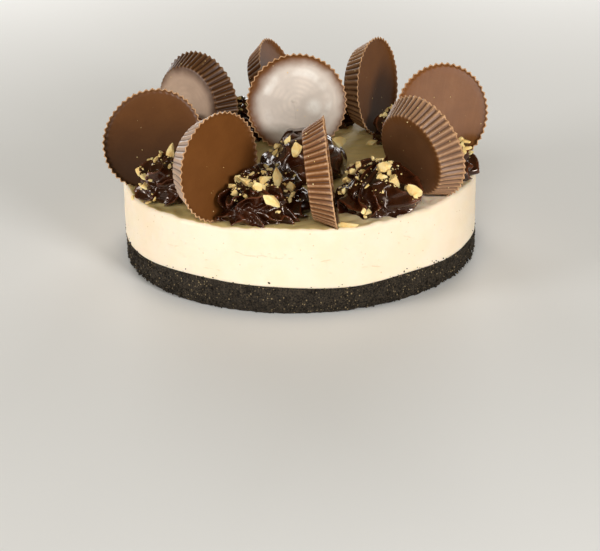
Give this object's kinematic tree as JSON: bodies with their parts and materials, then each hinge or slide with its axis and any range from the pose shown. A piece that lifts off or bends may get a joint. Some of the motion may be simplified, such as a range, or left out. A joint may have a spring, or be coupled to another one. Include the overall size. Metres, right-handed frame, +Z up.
{
  "type": "mousse cake",
  "caption": "Round mousse cake on a dark crumb crust, topped with piped ganache rosettes, chopped peanuts and fluted chocolate cups stood on edge.",
  "frame": {"origin": "centre of the crust's flat round underside", "axes": "+Z up along the cake's axis, -Y towards the front of the cake, +X to the right seen from the front"},
  "size_m": [0.1932, 0.2044, 0.0928],
  "materials": {
    "crust": "rough pressed cookie crumbs, nearly black with fine tan specks",
    "mousse": "soft satin cream with fine tan flecks and small pits",
    "chocolate": "satin milk chocolate, lighter along the fluted rim",
    "ganache": "glossy very dark chocolate",
    "nuts": "dry pale peanut with browner edges, fused to the ganache"
  },
  "bodies": {
    "root": {"crust": "crust", "mousse": "mousse", "cup_left": "chocolate", "cup_front_left": "chocolate", "cup_back_left": "chocolate", "cup_back": "chocolate", "cup_centre": "chocolate", "cup_front": "chocolate", "cup_back_right": "chocolate", "cup_right": "chocolate", "cup_front_right": "chocolate", "rosette_front_left": "ganache", "rosette_front_right": "ganache", "rosette_centre": "ganache", "rosette_left": "ganache", "rosette_right": "ganache", "rosette_back_right": "ganache", "rosette_back": "ganache", "rosette_back_left": "ganache", "rosette_far_left": "ganache"}
  },
  "joints": []
}
